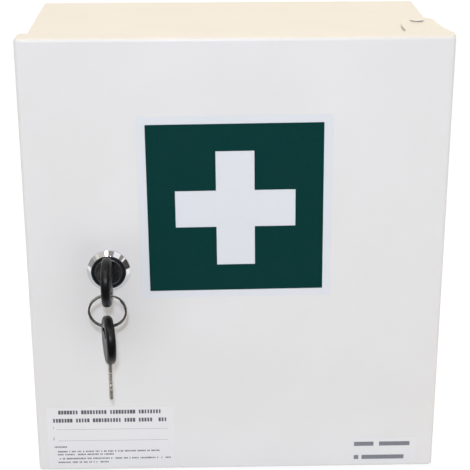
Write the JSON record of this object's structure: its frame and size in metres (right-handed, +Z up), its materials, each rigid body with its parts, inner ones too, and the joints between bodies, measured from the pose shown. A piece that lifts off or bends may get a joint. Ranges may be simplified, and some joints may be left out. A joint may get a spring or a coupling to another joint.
{
  "type": "lockable medicine cabinet",
  "caption": "Wall-hung folded-steel medicine cabinet with a tray-shaped hinged door, a cam lock, keys on a split ring, a shelf and a first-aid cross on the door.",
  "frame": {"origin": "middle of the wall holes, on the plane of the wall at the cabinet's back", "axes": "+X to the right as one faces the door, +Y into the wall, +Z up"},
  "size_m": [0.27, 0.1632, 0.3036],
  "materials": {
    "painted_shell": "satin powder coat, cream white",
    "painted_door": "satin powder coat, cool white",
    "plated_steel": "zinc-plated",
    "washer_plastic": "moulded",
    "rubber": "matt",
    "white_film": "printed vinyl film",
    "green_film": "printed vinyl film",
    "label_paper": "paper label",
    "clear_label": "film label",
    "chrome": "polished",
    "die_cast": "nickel-plated die casting",
    "black_plastic": "moulded",
    "brass": "stamped",
    "key_steel": "nickel-plated, milled",
    "spring_steel": "drawn and wound"
  },
  "bodies": {
    "cabinet": {"cabinet_shell": "painted_shell", "back_panel": "painted_shell", "shelf": "painted_shell", "shelf_bracket_left": "painted_shell", "shelf_bracket_right": "painted_shell", "hinge_plate_upper": "painted_shell", "hinge_plate_lower": "painted_shell", "hinge_pin_upper": "painted_shell", "hinge_pin_lower": "painted_shell", "hinge_washer_upper": "washer_plastic", "hinge_washer_lower": "washer_plastic", "door_buffers": "rubber"},
    "door": {"door_panel": "painted_door", "sign_sheet": "white_film", "sign_field": "green_film", "staff_label": "label_paper", "contents_label": "clear_label", "lock_housing": "die_cast", "lock_bezel": "chrome", "lock_face_ring": "black_plastic", "lock_washer": "plated_steel", "lock_nut": "plated_steel"},
    "lock_barrel": {"lock_plug": "die_cast", "lock_wafers": "brass", "lock_cam": "plated_steel", "cam_washer": "plated_steel", "cam_screw": "plated_steel"},
    "key": {"key_blade": "key_steel", "key_bow": "black_plastic"},
    "ring": {"key_ring": "spring_steel"},
    "spare_key": {"spare_key_blade": "key_steel", "spare_key_bow": "black_plastic"}
  },
  "joints": [
    {"name": "door_swing", "type": "hinge", "parent": "cabinet", "child": "door", "pos_m": [0.1195, -0.078, 0], "axis": [0, 0, 1], "range_deg": [0, 120]},
    {"name": "lock_turn", "type": "hinge", "parent": "door", "child": "lock_barrel", "pos_m": [-0.0805, -0.125, -0.0015], "axis": [0, 1, 0], "range_deg": [0, 90]},
    {"name": "key_pull", "type": "slide", "parent": "lock_barrel", "child": "key", "axis": [0, -1, 0], "range_m": [0, 0.027]},
    {"name": "ring_swing", "type": "hinge", "parent": "key", "child": "ring", "pos_m": [-0.0805, -0.15168, -0.00798], "axis": [-1, 0, 0], "range_deg": [-4, 60]},
    {"name": "spare_key_swing", "type": "hinge", "parent": "ring", "child": "spare_key", "pos_m": [-0.0805, -0.14758, -0.03122], "axis": [-1, 0, 0], "range_deg": [-10, 30]}
  ]
}
